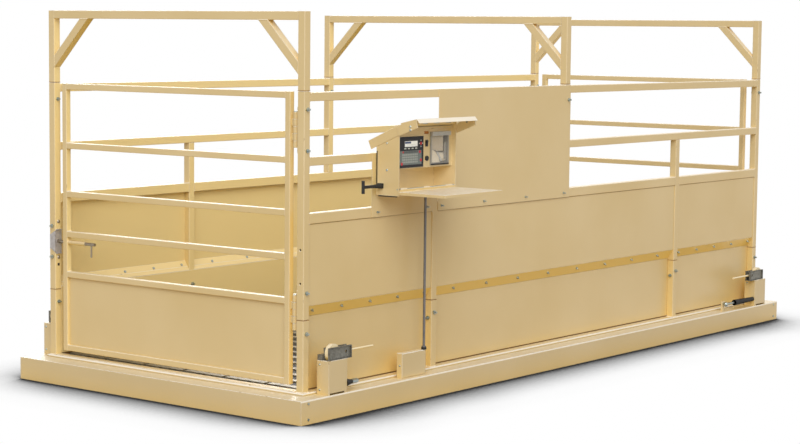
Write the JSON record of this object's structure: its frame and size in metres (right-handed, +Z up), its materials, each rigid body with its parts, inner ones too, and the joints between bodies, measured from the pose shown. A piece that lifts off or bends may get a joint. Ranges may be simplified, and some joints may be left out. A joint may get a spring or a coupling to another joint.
{
  "type": "livestock weighing crate",
  "caption": "Steel livestock scale: live cleated platform in a low base, sheeted tube pen with arches, swinging end gates, corner locks and an instrument enclosure with fold-down shelf.",
  "frame": {"origin": "centre of the base frame's footprint, on the floor", "axes": "+X along the crate from the front gate to the rear gate, -Y to the operator's side, +Z up"},
  "size_m": [5.728, 2.778, 2.342],
  "materials": {
    "beige_paint": "gloss beige paint",
    "deck_paint": "worn dark paint",
    "cleat_paint": "scuffed beige paint",
    "cell_steel": "plated steel",
    "bare_steel": "mill finish",
    "zinc_steel": "bright zinc plating",
    "galvanised_steel": "hot-dip galvanised",
    "dark_plastic": "fine texture",
    "display_face": "unlit display face",
    "keypad_film": "membrane film",
    "black_plastic": "moulded",
    "grey_plastic": "moulded",
    "smoked_window": "smoked clear plastic",
    "white_paper": "uncoated paper",
    "black_rubber": "moulded rubber",
    "conduit_steel": "grey enamel"
  },
  "bodies": {
    "crate": {"base_side_beams": "beige_paint", "base_end_beams": "beige_paint", "base_cross_members": "beige_paint", "load_cells": "cell_steel", "platform_frame": "beige_paint", "deck_plate": "deck_paint", "deck_cleats": "cleat_paint", "threshold_strips": "cleat_paint", "stub_posts": "beige_paint", "post_spigots": "bare_steel", "rack_posts": "beige_paint", "rack_rails": "beige_paint", "upper_sheets": "beige_paint", "ledge_strips": "beige_paint", "ledge_screws": "zinc_steel", "lower_panels": "beige_paint", "operator_panel": "beige_paint", "instrument_backplate": "beige_paint", "arch_front": "beige_paint", "arch_middle": "beige_paint", "arch_rear": "beige_paint", "frame_bolts": "zinc_steel", "hinge_brackets": "beige_paint", "hinge_pins": "zinc_steel", "latch_keepers": "galvanised_steel", "enclosure_shell": "beige_paint", "enclosure_roof": "beige_paint", "enclosure_pins": "zinc_steel", "instrument_board": "beige_paint", "indicator_case": "dark_plastic", "indicator_display": "display_face", "indicator_keypad": "keypad_film", "panel_connector": "black_plastic", "printer_case": "grey_plastic", "printer_window": "smoked_window", "paper_roll": "white_paper", "strap_anchor": "black_rubber", "conduit": "conduit_steel", "junction_box": "beige_paint", "lock_housings": "beige_paint", "lock_hubs": "galvanised_steel", "check_rods": "zinc_steel", "rubber_boots": "black_rubber"},
    "front_gate": {"front_gate_frame": "beige_paint", "front_gate_sheet": "beige_paint", "front_gate_knuckles": "beige_paint"},
    "rear_gate": {"rear_gate_frame": "beige_paint", "rear_gate_sheet": "beige_paint", "rear_gate_knuckles": "beige_paint"},
    "front_latch": {"front_latch_rod": "zinc_steel"},
    "rear_latch": {"rear_latch_rod": "zinc_steel"},
    "lid": {"enclosure_lid": "beige_paint"},
    "shelf": {"enclosure_shelf": "beige_paint"},
    "switch": {"power_switch": "black_plastic"},
    "strap": {"strap_latch": "black_rubber"},
    "lever_nf": {"lever_near_front": "beige_paint"},
    "lever_nr": {"lever_near_rear": "beige_paint"},
    "lever_ff": {"lever_far_front": "beige_paint"},
    "lever_fr": {"lever_far_rear": "beige_paint"}
  },
  "joints": [
    {"name": "front_gate_swing", "type": "hinge", "parent": "crate", "child": "front_gate", "pos_m": [-2.6896, -0.9847, 1], "axis": [0, 0, 1], "range_deg": [0, 110]},
    {"name": "rear_gate_swing", "type": "hinge", "parent": "crate", "child": "rear_gate", "pos_m": [2.6896, 0.9847, 1], "axis": [0, 0, 1], "range_deg": [0, 110]},
    {"name": "front_latch_slide", "type": "slide", "parent": "front_gate", "child": "front_latch", "axis": [0, 1, 0], "range_m": [0, 0.04]},
    {"name": "rear_latch_slide", "type": "slide", "parent": "rear_gate", "child": "rear_latch", "axis": [0, -1, 0], "range_m": [0, 0.04]},
    {"name": "lid_fold", "type": "hinge", "parent": "crate", "child": "lid", "pos_m": [0, -1.256, 1.689], "axis": [1, 0, 0], "range_deg": [0, 90]},
    {"name": "shelf_fold", "type": "hinge", "parent": "crate", "child": "shelf", "pos_m": [0, -1.23, 1.302], "axis": [-1, 0, 0], "range_deg": [0, 90]},
    {"name": "switch_tip", "type": "hinge", "parent": "crate", "child": "switch", "pos_m": [-1.75879, -1.21, 1.565], "axis": [-1, 0, 0], "range_deg": [0, 18]},
    {"name": "strap_swing", "type": "hinge", "parent": "crate", "child": "strap", "pos_m": [-2.08279, -1.116, 1.319], "axis": [0, 0, 1], "range_deg": [0, 88]},
    {"name": "lever_near_front_swing", "type": "hinge", "parent": "crate", "child": "lever_nf", "pos_m": [-2.556, -1.1525, 0.379], "axis": [0, -1, 0], "range_deg": [0, 175]},
    {"name": "lever_near_rear_swing", "type": "hinge", "parent": "crate", "child": "lever_nr", "pos_m": [2.573, -1.1525, 0.379], "axis": [0, 1, 0], "range_deg": [0, 175]},
    {"name": "lever_far_front_swing", "type": "hinge", "parent": "crate", "child": "lever_ff", "pos_m": [-2.573, 1.1525, 0.379], "axis": [0, -1, 0], "range_deg": [0, 175]},
    {"name": "lever_far_rear_swing", "type": "hinge", "parent": "crate", "child": "lever_fr", "pos_m": [2.556, 1.1525, 0.379], "axis": [0, 1, 0], "range_deg": [0, 175]}
  ]
}
